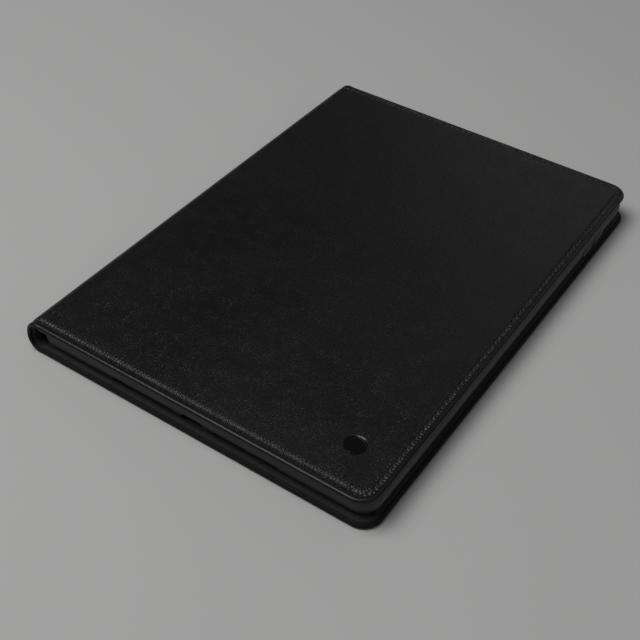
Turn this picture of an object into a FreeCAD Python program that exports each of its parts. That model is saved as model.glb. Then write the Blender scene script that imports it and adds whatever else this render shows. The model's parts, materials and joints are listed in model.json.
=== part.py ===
import FreeCAD, Part
import math
import os

# Folio case for a ten-inch tablet, closed, lying on its back panel.
# +X runs from the spine to the free edge, +Y from the tablet's port end to its top end, +Z up.
# The origin is the middle of the outer box's bottom. Sizes are in millimetres.

Vector = FreeCAD.Vector

# ---------------------------------------------------------------- driving sizes

# The tablet that the tray is moulded for.
tablet_width = 174.1
tablet_length = 250.6
tablet_thick = 7.5
tablet_corner = 7.2

# Moulded tray.
tray_fit = 0.2
tray_wall = 1.8
tray_base = 1.2
tray_lip = 1.0
tray_lip_reach = 1.6
tray_foot_round = 3.0
tray_top_round = 1.6
tray_inner_round = 1.5

# Notches in the tray's port end, open at the bottom.
port_width = 12.0
port_height = 5.0
port_round = 2.0
speaker_width = 34.0
speaker_height = 3.6
speaker_round = 1.7
speaker_pitch = 55.0

# Holes and button windows in the tray.
jack_radius = 3.2
jack_from_side = 17.0
mic_radius = 1.2
camera_radius = 6.0
camera_from_side = 13.0
camera_from_top = 13.0
pad_length = 11.0
pad_width = 3.2
pad_gap = 0.2
pad_proud = 0.4
pad_recess = 0.2
volume_up_from_top = 33.5
volume_down_from_top = 46.5
power_from_side = 22.0

# Panels: the thickness of each is the sum of its layers.
leather = 0.9
foam = 0.6
front_board = 1.1
front_lining = 0.5
back_board = 1.7
back_lining = 0.6
glue = 0.5
cover_gap = 0.3

# How far the panels reach past the tray, and their free corners.
cover_past_side = 0.35
cover_past_ends = 2.4
back_past_side = 2.0
back_past_ends = 2.45
corner_radius = 9.5
rim_round = 1.2

# Hem: the lining stops inside the rim, the boards stop inside the seam.
lining_inset = 1.6
board_inset = 6.0
board_to_hinge = 2.5
board_corner = 4.0

# Seam thread.
seam_inset = 3.9
thread_width = 0.6
thread_depth = 0.25
thread_fit = 0.05

# Spine: two tight rolls with a flatter stretch between them.
hinge_inside_tray = 2.95
roll_radius = 6.5
roll_angle = 70.0
spine_stiffener = 0.6
spine_lining = 0.6
crease_gap = 0.1
stiffener_to_crease = 1.4

# Stand fold of the back panel, and what holds the tray.
fold_from_tray_middle = 25.4
fold_board_gap = 3.0
fold_groove_width = 1.4
fold_groove_depth = 0.45
glue_inset = 5.0
back_camera_radius = 7.5

# Ribs on the front lining that stop the tray's long edge when it stands.
rib_count = 3
rib_first = 62.0
rib_pitch = 14.0
rib_width = 3.0
rib_height = 0.9
rib_length = 190.0
rib_round = 0.6

# Magnets in the front board.
magnet_radius = 4.0
magnet_thick = 1.0
magnet_fit = 0.05
magnet_from_edge = 14.0
magnet_spread = 160.0
sleep_magnet_radius = 3.0
sleep_magnet_y = 38.0

# Plain round mark pressed into the cover.
mark_radius = 5.2
mark_line = 0.8
mark_depth = 0.2
mark_from_side = 22.0
mark_from_end = 24.1

# ---------------------------------------------------------------- worked-out sizes

tray_width = tablet_width + 2 * (tray_fit + tray_wall)
tray_length = tablet_length + 2 * (tray_fit + tray_wall)
tray_corner = tablet_corner + tray_fit + tray_wall

back_thick = leather + back_board + back_lining
cover_thick = leather + foam + front_board + front_lining
spine_thick = leather + spine_stiffener + spine_lining

z_tray = back_thick + glue
z_floor = z_tray + tray_base
z_lip = z_floor + tablet_thick + tray_fit
z_tray_top = z_lip + tray_lip
z_cover = z_tray_top + cover_gap
z_top = z_cover + cover_thick

roll = math.radians(roll_angle)
middle_radius = (z_top - 2 * roll_radius * (1 - math.cos(roll))) / (2 * math.cos(roll))
roll_depth = roll_radius * math.sin(roll) + middle_radius * (1 - math.sin(roll))

overall_width = roll_depth - hinge_inside_tray + tray_width + back_past_side
x_spine = -overall_width / 2
x_hinge = x_spine + roll_depth
x_tray_left = x_hinge - hinge_inside_tray
x_tray_right = x_tray_left + tray_width
x_tray = (x_tray_left + x_tray_right) / 2
x_cover = x_tray_right + cover_past_side
x_back = x_tray_right + back_past_side
x_fold = x_tray + fold_from_tray_middle

tray_half = tray_length / 2
cover_half = tray_half + cover_past_ends
back_half = tray_half + back_past_ends

x_camera = x_tray + tablet_width / 2 - camera_from_side
y_camera = tablet_length / 2 - camera_from_top
z_tablet_middle = z_floor + tablet_thick / 2

# ---------------------------------------------------------------- shapes


def rect_wire(x0, x1, y0, y1, z, left_radius, right_radius):
    """Closed rectangle at height z; the corners at x0 and at x1 each take their own radius."""
    corners = [
        (x0 + left_radius, y0 + left_radius, left_radius, 180),
        (x1 - right_radius, y0 + right_radius, right_radius, 270),
        (x1 - right_radius, y1 - right_radius, right_radius, 0),
        (x0 + left_radius, y1 - left_radius, left_radius, 90),
    ]
    arcs = []
    for cx, cy, radius, start in corners:
        turns = [math.radians(start + step) for step in (0, 45, 90)]
        arcs.append([Vector(cx + radius * math.cos(a), cy + radius * math.sin(a), z) for a in turns])
    edges = []
    for number, points in enumerate(arcs):
        if corners[number][2] > 0:
            edges.append(Part.Arc(*points).toShape())
        following = arcs[(number + 1) % 4]
        if points[2].distanceToPoint(following[0]) > 1e-6:
            edges.append(Part.LineSegment(points[2], following[0]).toShape())
    return Part.Wire(edges)


def plate(x0, x1, half, z0, z1, right_radius, left_radius=0.0):
    """Flat plate, centred on y = 0, between two heights."""
    face = Part.Face(rect_wire(x0, x1, -half, half, z0, left_radius, right_radius))
    return face.extrude(Vector(0, 0, z1 - z0))


def disc(x, y, z0, z1, radius):
    return Part.makeCylinder(radius, z1 - z0, Vector(x, y, z0))


def edges_at(shape, height, free_of=None):
    """Edges that lie flat at a height, leaving out those along the line x = free_of."""
    found = []
    for edge in shape.Edges:
        box = edge.BoundBox
        flat = abs(box.ZMin - height) < 1e-6 and abs(box.ZMax - height) < 1e-6
        along = free_of is not None and abs(box.XMin - free_of) < 1e-6 and abs(box.XMax - free_of) < 1e-6
        if flat and not along:
            found.append(edge)
    return found


def ring_sector(cx, cz, outer, inner, start, end, y0, y1):
    """Curved wall along Y: a slice of a ring between two radii and two angles in degrees."""
    def at(radius, angle):
        turn = math.radians(angle)
        return Vector(cx + radius * math.cos(turn), y0, cz + radius * math.sin(turn))

    middle = (start + end) / 2
    edges = [
        Part.Arc(at(outer, start), at(outer, middle), at(outer, end)).toShape(),
        Part.LineSegment(at(outer, end), at(inner, end)).toShape(),
        Part.Arc(at(inner, end), at(inner, middle), at(inner, start)).toShape(),
        Part.LineSegment(at(inner, start), at(outer, start)).toShape(),
    ]
    return Part.Face(Part.Wire(edges)).extrude(Vector(0, y1 - y0, 0))


def arch(x, width, z0, height, radius, y0, y1):
    """Notch with a flat foot at z0 and rounded upper corners, cut along Y."""
    block = Part.makeBox(width, y1 - y0, height, Vector(x - width / 2, y0, z0))
    upper = [
        edge for edge in block.Edges
        if abs(edge.BoundBox.ZMin - z0 - height) < 1e-6 and edge.BoundBox.YLength > 0.9 * (y1 - y0)
    ]
    return block.makeFillet(radius, upper)


def stadium(length, width, depth):
    """Bar with round ends: its length along X, its width along Y, standing on z = 0."""
    face = Part.Face(rect_wire(-length / 2, length / 2, -width / 2, width / 2, 0, width / 2, width / 2))
    return face.extrude(Vector(0, 0, depth))


def as_one(shape):
    """A finished piece: its one clean solid, or its solids as a group."""
    solids = [solid.removeSplitter() for solid in shape.Solids]
    return solids[0] if len(solids) == 1 else Part.makeCompound(solids)


def save(name, shape):
    as_one(shape).exportStep(os.path.join("parts", name + ".step"))


# ---------------------------------------------------------------- panels


def seam_band(x1, half, z0, z1, grow):
    """Thread round a panel's three free sides, from the hinge line and back to it."""
    inner = seam_inset + thread_width / 2 + grow
    outer = seam_inset - thread_width / 2 - grow
    start = x_hinge + crease_gap
    band = plate(start, x1 - outer, half - outer, z0, z1, corner_radius - outer)
    core = plate(start, x1 - inner, half - inner, z0, z1, corner_radius - inner)
    return band.cut(core)


def seam_pair(x1, half, z0, z1):
    """Threads of one seam: one lies in the lower face of the panel, one in the upper."""
    low = seam_band(x1, half, z0 + thread_fit, z0 + thread_depth, 0)
    high = seam_band(x1, half, z1 - thread_depth, z1 - thread_fit, 0)
    return low, high


def seam_grooves(x1, half, z0, z1):
    low = seam_band(x1, half, z0, z0 + thread_depth, thread_fit)
    high = seam_band(x1, half, z1 - thread_depth, z1, thread_fit)
    return low.fuse(high)


def panel_blank(x1, half, z0, z1):
    """Whole panel with a rounded rim on its three free sides."""
    blank = plate(x_hinge + crease_gap / 2, x1, half, z0, z1, corner_radius)
    rim = edges_at(blank, z0, blank.BoundBox.XMin) + edges_at(blank, z1, blank.BoundBox.XMin)
    return blank.makeFillet(rim_round, rim)


def panel_lining(x1, half, z0, z1):
    return plate(x_hinge + crease_gap / 2, x1 - lining_inset, half - lining_inset, z0, z1,
                 corner_radius - lining_inset)


def panel_board(x0, x1, half, z0, z1, left_radius=0.0):
    return plate(x0, x1 - board_inset, half - board_inset, z0, z1, board_corner, left_radius)


def magnets(grow):
    """Closure discs and the sleep disc, as cylinders that can be grown for their pockets."""
    x = x_cover - magnet_from_edge
    top = z_cover + front_lining + (front_board if grow else magnet_thick)
    low = z_cover + front_lining
    closure = [disc(x, side * magnet_spread / 2, low, top, magnet_radius + grow) for side in (-1, 1)]
    sleep = disc(x, sleep_magnet_y, low, top, sleep_magnet_radius + grow)
    return closure, sleep


def mark():
    """Plain ring pressed into the cover's face."""
    x = x_cover - mark_from_side
    y = mark_from_end - cover_half
    outer = disc(x, y, z_top - mark_depth, z_top, mark_radius)
    return outer.cut(disc(x, y, z_top - mark_depth, z_top, mark_radius - mark_line))


def make_front():
    lining_top = z_cover + front_lining
    board_top = lining_top + front_board
    skin_under = z_top - leather
    grooves = seam_grooves(x_cover, cover_half, z_cover, z_top)
    lining = panel_lining(x_cover, cover_half, z_cover, lining_top)
    pocket = panel_board(x_hinge + board_to_hinge, x_cover, cover_half, lining_top, skin_under)
    skin = panel_blank(x_cover, cover_half, z_cover, z_top).cut(lining).cut(pocket)
    save("front_leather", skin.cut(grooves).cut(mark()))
    save("front_lining", lining.cut(grooves))

    board = panel_board(x_hinge + board_to_hinge, x_cover, cover_half, lining_top, board_top)
    closure_pockets, sleep_pocket = magnets(magnet_fit)
    for hole in closure_pockets + [sleep_pocket]:
        board = board.cut(hole)
    save("front_board", board)
    save("front_foam", panel_board(x_hinge + board_to_hinge, x_cover, cover_half, board_top, skin_under))
    closure, sleep = magnets(0)
    save("closure_magnets", Part.makeCompound(closure))
    save("sleep_magnet", sleep)
    save("front_stitching", Part.makeCompound(seam_pair(x_cover, cover_half, z_cover, z_top)))
    save("stand_ribs", make_ribs())


def make_ribs():
    ribs = []
    for number in range(rib_count):
        x = x_hinge + rib_first + number * rib_pitch
        rib = plate(x - rib_width / 2, x + rib_width / 2, rib_length / 2, z_cover - rib_height, z_cover,
                    rib_width / 2 - thread_fit, rib_width / 2 - thread_fit)
        ribs.append(rib.makeFillet(rib_round, edges_at(rib, z_cover - rib_height)))
    return Part.makeCompound(ribs)


def make_back():
    board_top = leather + back_board
    camera = disc(x_camera, y_camera, 0, z_tray, back_camera_radius)
    grooves = seam_grooves(x_back, back_half, 0, back_thick)
    lining = panel_lining(x_back, back_half, board_top, back_thick).cut(camera)
    pocket = panel_board(x_hinge + board_to_hinge, x_back, back_half, leather, board_top)
    fold = Part.makeBox(fold_groove_width, 2 * back_half, fold_groove_depth,
                        Vector(x_fold - fold_groove_width / 2, -back_half, 0))
    skin = panel_blank(x_back, back_half, 0, back_thick).cut(lining).cut(pocket)
    save("back_leather", skin.cut(grooves).cut(camera).cut(fold))
    save("back_lining", lining.cut(grooves))

    inner = plate(x_hinge + board_to_hinge, x_fold - fold_board_gap / 2, back_half - board_inset,
                  leather, board_top, 0)
    outer = panel_board(x_fold + fold_board_gap / 2, x_back, back_half, leather, board_top)
    save("back_board_inner", inner)
    save("back_board_outer", outer.cut(camera))
    threads = Part.makeCompound([thread.cut(fold) for thread in seam_pair(x_back, back_half, 0, back_thick)])
    save("back_stitching", threads)

    sheet = plate(x_fold + fold_board_gap / 2, x_tray_right - glue_inset, tray_half - glue_inset,
                  back_thick, z_tray, tray_corner - glue_inset, tray_corner - glue_inset)
    save("tray_glue_sheet", sheet.cut(camera))


# ---------------------------------------------------------------- spine


def spine_strips():
    """Name, arc centre, arc radius, angles and half length of each strip, from the back upwards."""
    x_roll = x_hinge
    x_middle = x_spine + middle_radius
    between = (back_half + cover_half) / 2
    split = 270 - roll_angle
    return [
        ("lower", x_roll, roll_radius, roll_radius, split, 270, back_half),
        ("middle", x_middle, z_top / 2, middle_radius, 360 - split, split, between),
        ("upper", x_roll, z_top - roll_radius, roll_radius, 90, 360 - split, cover_half),
    ]


def make_spine():
    for name, cx, cz, radius, start, end, half in spine_strips():
        trim = math.degrees(crease_gap / 2 / radius)
        inset = math.degrees(stiffener_to_crease / radius)

        def layer(top, bottom, side, shrink):
            return ring_sector(cx, cz, radius - top, radius - bottom, start + side, end - side,
                               shrink - half, half - shrink)

        lining_low = leather + spine_stiffener
        stiffener = layer(leather, lining_low, inset, board_inset)
        lining = layer(lining_low, spine_thick, trim, lining_inset)
        skin = layer(0, spine_thick, trim, 0).cut(stiffener).cut(lining)
        threads = []
        for side in (-1, 1):
            y = side * (half - seam_inset)
            for out, grow in ((0, thread_fit), (thread_fit, 0)):
                wide = thread_width / 2 + grow
                run = ring_sector(cx, cz, radius - out, radius - thread_depth, start + trim, end - trim,
                                  y - wide, y + wide)
                if grow:
                    skin = skin.cut(run)
                else:
                    threads.append(run)
        save("spine_leather_" + name, skin)
        save("spine_stiffener_" + name, stiffener)
        save("spine_lining_" + name, lining)
        save("spine_stitching_" + name, Part.makeCompound(threads))


# ---------------------------------------------------------------- tray


def pads():
    """Name, outward direction, and middle of the outer wall face of each button pad."""
    y_top = tablet_length / 2
    x_power = x_tray + tablet_width / 2 - power_from_side
    return [
        ("volume_up_pad", Vector(1, 0, 0), Vector(x_tray_right, y_top - volume_up_from_top, z_tablet_middle)),
        ("volume_down_pad", Vector(1, 0, 0), Vector(x_tray_right, y_top - volume_down_from_top, z_tablet_middle)),
        ("power_pad", Vector(0, 1, 0), Vector(x_power, tray_half, z_tablet_middle)),
    ]


def pad_bar(outward, middle, grow, start, end):
    """Round-ended bar through the wall, from start to end along its outward direction."""
    bar = stadium(pad_length + 2 * grow, pad_width + 2 * grow, end - start)
    bar.translate(Vector(0, 0, start))
    bar.rotate(Vector(0, 0, 0), Vector(1, 0, 0), -90)
    if outward.x > 0:
        bar.rotate(Vector(0, 0, 0), Vector(0, 0, 1), -90)
    bar.translate(middle)
    return bar


def save_tray(body, edge):
    """The one moulded tray, saved as its floor, its four walls with their lips, and its corners."""
    core = plate(x_tray_left + edge, x_tray_right - edge, tray_half - edge, z_tray, z_tray_top,
                 tray_corner - edge, tray_corner - edge)
    save("tray_floor", body.common(core))
    ring = body.cut(core)
    height = z_tray_top - z_tray
    run_x = tray_width - 2 * tray_corner
    run_y = tray_length - 2 * tray_corner
    zones = {
        "tray_port_wall": (run_x, edge, x_tray_left + tray_corner, -tray_half),
        "tray_top_wall": (run_x, edge, x_tray_left + tray_corner, tray_half - edge),
        "tray_spine_wall": (edge, run_y, x_tray_left, tray_corner - tray_half),
        "tray_free_wall": (edge, run_y, x_tray_right - edge, tray_corner - tray_half),
    }
    corners = ring
    for name, (size_x, size_y, x, y) in zones.items():
        zone = Part.makeBox(size_x, size_y, height, Vector(x, y, z_tray))
        wall = ring.common(zone)
        if name == "tray_port_wall":
            wall = cut_in_bands(wall, zone, x, y, [speaker_height, port_height])
        save(name, wall)
        corners = corners.cut(zone)
    save("tray_corners", corners)


def cut_in_bands(wall, zone, x, y, heights):
    """The notched wall cut level with the tops of its notches, so that each of its blocks is plain."""
    size = zone.BoundBox
    blocks = []
    low = 0
    for high in heights + [z_tray_top - z_tray]:
        band = Part.makeBox(size.XLength, size.YLength, high - low, Vector(x, y, z_tray + low))
        blocks += wall.common(band).Solids
        low = high
    return Part.makeCompound(blocks)


def make_tray():
    edge = tray_wall + tray_lip_reach
    body = plate(x_tray_left, x_tray_right, tray_half, z_tray, z_tray_top, tray_corner, tray_corner)
    body = body.makeFillet(tray_foot_round, edges_at(body, z_tray))
    body = body.makeFillet(tray_top_round, edges_at(body, z_tray_top))
    hollow = plate(x_tray_left + tray_wall, x_tray_right - tray_wall, tray_half - tray_wall,
                   z_floor, z_lip, tray_corner - tray_wall, tray_corner - tray_wall)
    hollow = hollow.makeFillet(tray_inner_round, edges_at(hollow, z_floor))
    mouth = plate(x_tray_left + edge, x_tray_right - edge, tray_half - edge,
                  z_lip - tray_fit, z_tray_top, tray_corner - edge, tray_corner - edge)
    body = body.cut(hollow).cut(mouth)
    notch_start = -tray_half - tray_wall
    notch_end = -tray_half + edge
    below = tray_base
    body = body.cut(arch(x_tray, port_width, z_tray - below, port_height + below, port_round,
                         notch_start, notch_end))
    for side in (-1, 1):
        body = body.cut(arch(x_tray + side * speaker_pitch / 2, speaker_width, z_tray - below,
                             speaker_height + below, speaker_round, notch_start, notch_end))

    body = body.cut(disc(x_camera, y_camera, z_tray, z_floor, camera_radius))
    through = 2 * tray_wall
    jack = Vector(x_tray - tablet_width / 2 + jack_from_side, tray_half - through, z_tablet_middle)
    mic = Vector(x_tray, tray_half - through, z_tablet_middle)
    body = body.cut(Part.makeCylinder(jack_radius, 2 * through, jack, Vector(0, 1, 0)))
    body = body.cut(Part.makeCylinder(mic_radius, 2 * through, mic, Vector(0, 1, 0)))
    for name, outward, middle in pads():
        body = body.cut(pad_bar(outward, middle, pad_gap, -through, through))
        save(name, pad_bar(outward, middle, 0, pad_recess - tray_wall, pad_proud))
    save_tray(body, edge)


os.makedirs("parts", exist_ok=True)
make_front()
make_back()
make_spine()
make_tray()
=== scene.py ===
import json
import math
import random

import bmesh
import bpy
from mathutils import Matrix, Vector, noise


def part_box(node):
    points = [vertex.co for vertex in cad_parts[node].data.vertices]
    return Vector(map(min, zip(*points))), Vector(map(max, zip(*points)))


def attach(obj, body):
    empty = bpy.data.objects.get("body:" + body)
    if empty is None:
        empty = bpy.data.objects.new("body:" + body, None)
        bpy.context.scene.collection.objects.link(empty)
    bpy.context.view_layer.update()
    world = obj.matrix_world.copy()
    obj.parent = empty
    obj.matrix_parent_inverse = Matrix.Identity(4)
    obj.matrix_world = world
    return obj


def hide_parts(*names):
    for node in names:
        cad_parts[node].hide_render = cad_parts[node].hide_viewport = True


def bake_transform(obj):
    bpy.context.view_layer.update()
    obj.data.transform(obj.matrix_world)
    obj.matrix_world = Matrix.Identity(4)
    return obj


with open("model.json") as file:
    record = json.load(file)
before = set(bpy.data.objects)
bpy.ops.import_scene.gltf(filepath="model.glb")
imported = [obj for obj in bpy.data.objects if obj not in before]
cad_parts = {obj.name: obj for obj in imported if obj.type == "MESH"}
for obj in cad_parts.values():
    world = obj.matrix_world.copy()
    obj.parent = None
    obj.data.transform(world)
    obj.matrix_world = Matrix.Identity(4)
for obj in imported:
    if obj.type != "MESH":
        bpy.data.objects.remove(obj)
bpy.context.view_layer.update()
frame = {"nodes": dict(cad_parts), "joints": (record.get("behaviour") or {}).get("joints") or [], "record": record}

MM = 0.001

# ---------------------------------------------------------------- places, from the frame

hinges = {joint["name"]: joint for joint in frame["joints"]}
opening = Vector(hinges["spine_opening"]["pos_m"]) / MM
crease = Vector(hinges["spine_crease_low"]["pos_m"]) / MM


def box_mm(node):
    """Low and high corners of a node, in millimetres."""
    low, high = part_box(node)
    return low / MM, high / MM


cover_low, cover_high = box_mm("front_leather")
back_low, back_high = box_mm("back_leather")
spine_low, spine_high = box_mm("spine_leather_middle")

X_HINGE = opening.x
Z_TOP = cover_high.z
COVER_THICK = cover_high.z - cover_low.z
BACK_THICK = back_high.z - back_low.z
COVER_REACH = cover_high.x - X_HINGE
BACK_REACH = back_high.x - X_HINGE
COVER_HALF = cover_high.y
BACK_HALF = back_high.y
SPINE_HALF = spine_high.y

# The spine's section: a tight roll at each panel and a flatter stretch between them.
ROLL_TURN = 2 * math.atan2(crease.z, X_HINGE - crease.x)
ROLL_RADIUS = crease.z / (1 - math.cos(ROLL_TURN))
MIDDLE_TURN = math.pi / 2 - ROLL_TURN
MIDDLE_RADIUS = (Z_TOP / 2 - crease.z) / math.sin(MIDDLE_TURN)
ROLL_RUN = ROLL_RADIUS * ROLL_TURN
MIDDLE_RUN = MIDDLE_RADIUS * MIDDLE_TURN
HALF_SPINE_RUN = ROLL_RUN + MIDDLE_RUN
SPINE_THICK = 2.1

# Hem and seam sizes that repeat over the case, in millimetres.
CORNER = 9.5
STITCH_PITCH = 3.5
SEAM_INSET = 3.9
PLEAT_PITCH = STITCH_PITCH / 2
STEP = PLEAT_PITCH / 6
RIM_RADIUS = 1.3
LEATHER_THICK = 0.9
LINING_INSET = 1.6

# ---------------------------------------------------------------- flat pattern to case


class Panel:
    """One panel of the case with its half of the spine, as a flat pattern.

    A point of the pattern is t, its distance from the hinge line towards the free edge,
    y, along the spine, and h, its depth under the outer face. Negative t is on the spine.
    """

    def __init__(self, reach, half, thick, is_cover):
        self.reach = reach
        self.half = half
        self.thick = thick
        self.is_cover = is_cover
        self.straight_t = reach - CORNER
        self.straight_y = half - CORNER
        seam_radius = CORNER - SEAM_INSET
        self.seam_radius = seam_radius
        self.seam_length = 2 * self.straight_t + 2 * self.straight_y + math.pi * seam_radius
        self.t_step = self.straight_t / round(self.straight_t / STEP)
        self.y_step = 2 * self.straight_y / round(2 * self.straight_y / STEP)

    def snap_t(self, t):
        return round(t / self.t_step) * self.t_step

    def snap_y(self, y):
        return round((y + self.straight_y) / self.y_step) * self.y_step - self.straight_y

    def seam_run(self, t, y):
        """Distance along the seam, from the hinge line at the port end, of the nearest point."""
        past_t = t - self.straight_t
        if past_t <= 0 and abs(y) > self.straight_y - 1:
            return t if y < 0 else self.seam_length - t
        first_turn = self.straight_t + self.seam_radius * math.pi / 2
        if y < -self.straight_y:
            angle = math.atan2(past_t, -y - self.straight_y)
            return self.straight_t + self.seam_radius * angle
        if y > self.straight_y:
            angle = math.atan2(y - self.straight_y, past_t)
            return first_turn + 2 * self.straight_y + self.seam_radius * angle
        return first_turn + y + self.straight_y

    def seam_point(self, run):
        """Place (t, y) and heading of the seam at a distance along it."""
        quarter = self.seam_radius * math.pi / 2
        edge_y = self.half - SEAM_INSET
        if run < self.straight_t:
            return run, -edge_y, 0.0
        run -= self.straight_t
        if run < quarter:
            angle = run / self.seam_radius
            return (self.straight_t + self.seam_radius * math.sin(angle),
                    -self.straight_y - self.seam_radius * math.cos(angle), angle)
        run -= quarter
        if run < 2 * self.straight_y:
            return self.reach - SEAM_INSET, run - self.straight_y, math.pi / 2
        run -= 2 * self.straight_y
        if run < quarter:
            angle = run / self.seam_radius
            return (self.straight_t + self.seam_radius * math.cos(angle),
                    self.straight_y + self.seam_radius * math.sin(angle), math.pi / 2 + angle)
        run -= quarter
        return self.straight_t - run, edge_y, math.pi

    def inset_at(self, t, y):
        """Distance in from the rim's outline."""
        past_t = t - self.straight_t
        past_y = abs(y) - self.straight_y
        if past_t > 0 and past_y > 0:
            return CORNER - math.hypot(past_t, past_y)
        if past_t > past_y:
            return CORNER - past_t
        return CORNER - past_y

    def wrap(self, t, y, h):
        """Place in the case, in millimetres, of a point of the pattern."""
        slim = smooth((2.5 - t) / 2.5)
        h = h * (1 - slim + slim * SPINE_THICK / self.thick)
        if t >= 0:
            x, drop = X_HINGE + t, h
        elif -t <= ROLL_RUN:
            turn = -t / ROLL_RADIUS
            radius = ROLL_RADIUS - h
            x = X_HINGE - radius * math.sin(turn)
            drop = ROLL_RADIUS - radius * math.cos(turn)
        else:
            turn = (-t - ROLL_RUN) / MIDDLE_RADIUS
            radius = MIDDLE_RADIUS - h
            back_to_middle = MIDDLE_TURN - turn
            x = spine_low.x + MIDDLE_RADIUS - radius * math.cos(back_to_middle)
            drop = Z_TOP / 2 - radius * math.sin(back_to_middle)
        along = max(0.0, -t) / HALF_SPINE_RUN
        y += math.copysign((SPINE_HALF - self.half) * along, y) if abs(y) > self.half / 2 else 0
        return Vector((x, y, Z_TOP - drop if self.is_cover else drop))


def smooth(x):
    x = min(1.0, max(0.0, x))
    return x * x * (3 - 2 * x)


def bump_at(x, middle, width):
    """Smooth hump of height 1 and the given half width."""
    return smooth(1 - abs(x - middle) / width)


COVER = Panel(COVER_REACH, COVER_HALF, COVER_THICK, True)
BACK = Panel(BACK_REACH, BACK_HALF, BACK_THICK, False)

# ---------------------------------------------------------------- flat patterns

# Section of the hem's outer side: (distance in from the rim, depth under the face).
HEM_CROWN = 0.2
RIM_DEPTH = HEM_CROWN + RIM_RADIUS
# The panel's flat field starts at the first of these, and its cuts are this many steps apart.
BEND_END = 6.0
FIELD_STEPS = 24
EASE = 0.25
SHARP_ANGLE = math.radians(42)


def quarter_round(radius, inset, depth, angles):
    """Section points of a rim, from its side up and over to its face."""
    turns = [math.radians(angle) for angle in angles]
    return [(inset + radius * (1 - math.cos(a)), depth + radius * (1 - math.sin(a))) for a in turns]


OUTER_HEM = quarter_round(RIM_RADIUS, 0, HEM_CROWN, (18, 36, 54, 70, 84)) + [
    (1.6, 0.24), (1.95, 0.36), (2.25, 0.52), (2.55, 0.62), (2.9, 0.64), (3.25, 0.61), (3.55, 0.57),
    (3.9, 0.53), (4.2, 0.43), (4.5, 0.32), (4.8, 0.2), (5.1, 0.11), (5.4, 0.05), (5.8, 0.02),
    (6.4, 0.0), (7.2, 0.0), (8.2, 0.0),
]


def under_hem(thick):
    """Section of the turned side of the hem, round the rim and in to the boards."""
    low = thick - RIM_DEPTH
    turned = [
        (RIM_RADIUS * (1 - math.cos(math.radians(a))), RIM_DEPTH + low * math.sin(math.radians(a)))
        for a in (22, 45, 68, 88)
    ]
    seat = thick - 0.55
    return turned + [(1.5, thick), (LINING_INSET, seat), (5.9, seat), (6.0, LEATHER_THICK)]


def outline_face(mesh, panel, inset, h, before):
    """Flat outline of a panel, its sides divided at even steps from the hinge line."""
    start = -math.ceil(before / panel.t_step) * panel.t_step
    end = panel.reach - inset
    half = panel.half - inset
    outline = ((start, -half), (end, -half), (end, half), (start, half))
    corners = [mesh.verts.new((x, y, -h)) for x, y in outline]
    mesh.faces.new(corners)
    bmesh.ops.bevel(mesh, geom=corners[1:3], offset=CORNER - inset, segments=24, profile=0.5,
                    affect="VERTICES", material=-1)
    for edge in list(mesh.edges):
        a, b = (vert.co for vert in edge.verts)
        if edge.calc_length() < 20 or (a.x < 0 and b.x < 0):
            continue
        if abs(a.y - b.y) < 1e-6:
            cuts = round((panel.straight_t - start) / panel.t_step) - 1
        else:
            cuts = round(2 * panel.straight_y / panel.y_step) - 1
        bmesh.ops.subdivide_edges(mesh, edges=[edge], cuts=cuts)
    return upward(mesh.faces[:][0], True)


def upward(face, up):
    """Turns a flat face up, or down."""
    face.normal_update()
    if (face.normal.z > 0) != up:
        face.normal_flip()
    return face


def add_rings(mesh, face, section, start):
    """Steps a face inwards along a section, leaving one ring of faces for each step."""
    inset, depth = start
    side = 1 if face.normal.z > 0 else -1
    for next_inset, next_depth in section:
        bmesh.ops.inset_region(mesh, faces=[face], thickness=next_inset - inset,
                               depth=side * (depth - next_depth), use_even_offset=True, use_boundary=True)
        inset, depth = next_inset, next_depth


def both_sides(mesh, face, level, over, under):
    """Turns a flat outline into a closed sheet: one section above it and one below."""
    add_rings(mesh, face, over, (0.0, level))
    rim = [edge for edge in mesh.edges if edge.is_boundary]
    lower = bmesh.ops.contextual_create(mesh, geom=rim)["faces"][0]
    add_rings(mesh, upward(lower, False), under, (0.0, level))


def cut_across(mesh, place, axis, side=0):
    """Divides every face along a plane across t or y; side drops what lies beyond it."""
    point = Vector((place, 0, 0)) if axis == "t" else Vector((0, place, 0))
    normal = Vector((1, 0, 0)) if axis == "t" else Vector((0, 1, 0))
    geometry = mesh.verts[:] + mesh.edges[:] + mesh.faces[:]
    cut = bmesh.ops.bisect_plane(mesh, geom=geometry, dist=2e-3, plane_co=point, plane_no=normal,
                                 clear_outer=side > 0, clear_inner=side < 0)
    if side:
        rim = [item for item in cut["geom_cut"] if isinstance(item, bmesh.types.BMEdge)]
        bmesh.ops.edgeloop_fill(mesh, edges=rim)


def grid_lines(first, last, spacing, gaps):
    """Even lines from first to last that leave each gap whole, and the gap's own two sides."""
    count = int((last - first) / spacing + 1e-6)
    lines = [first + spacing * number for number in range(count + 1)]
    clear = [line for line in lines if not any(low - 1 < line < high + 1 for low, high in gaps)]
    return clear + [side for gap in gaps for side in gap]


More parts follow.
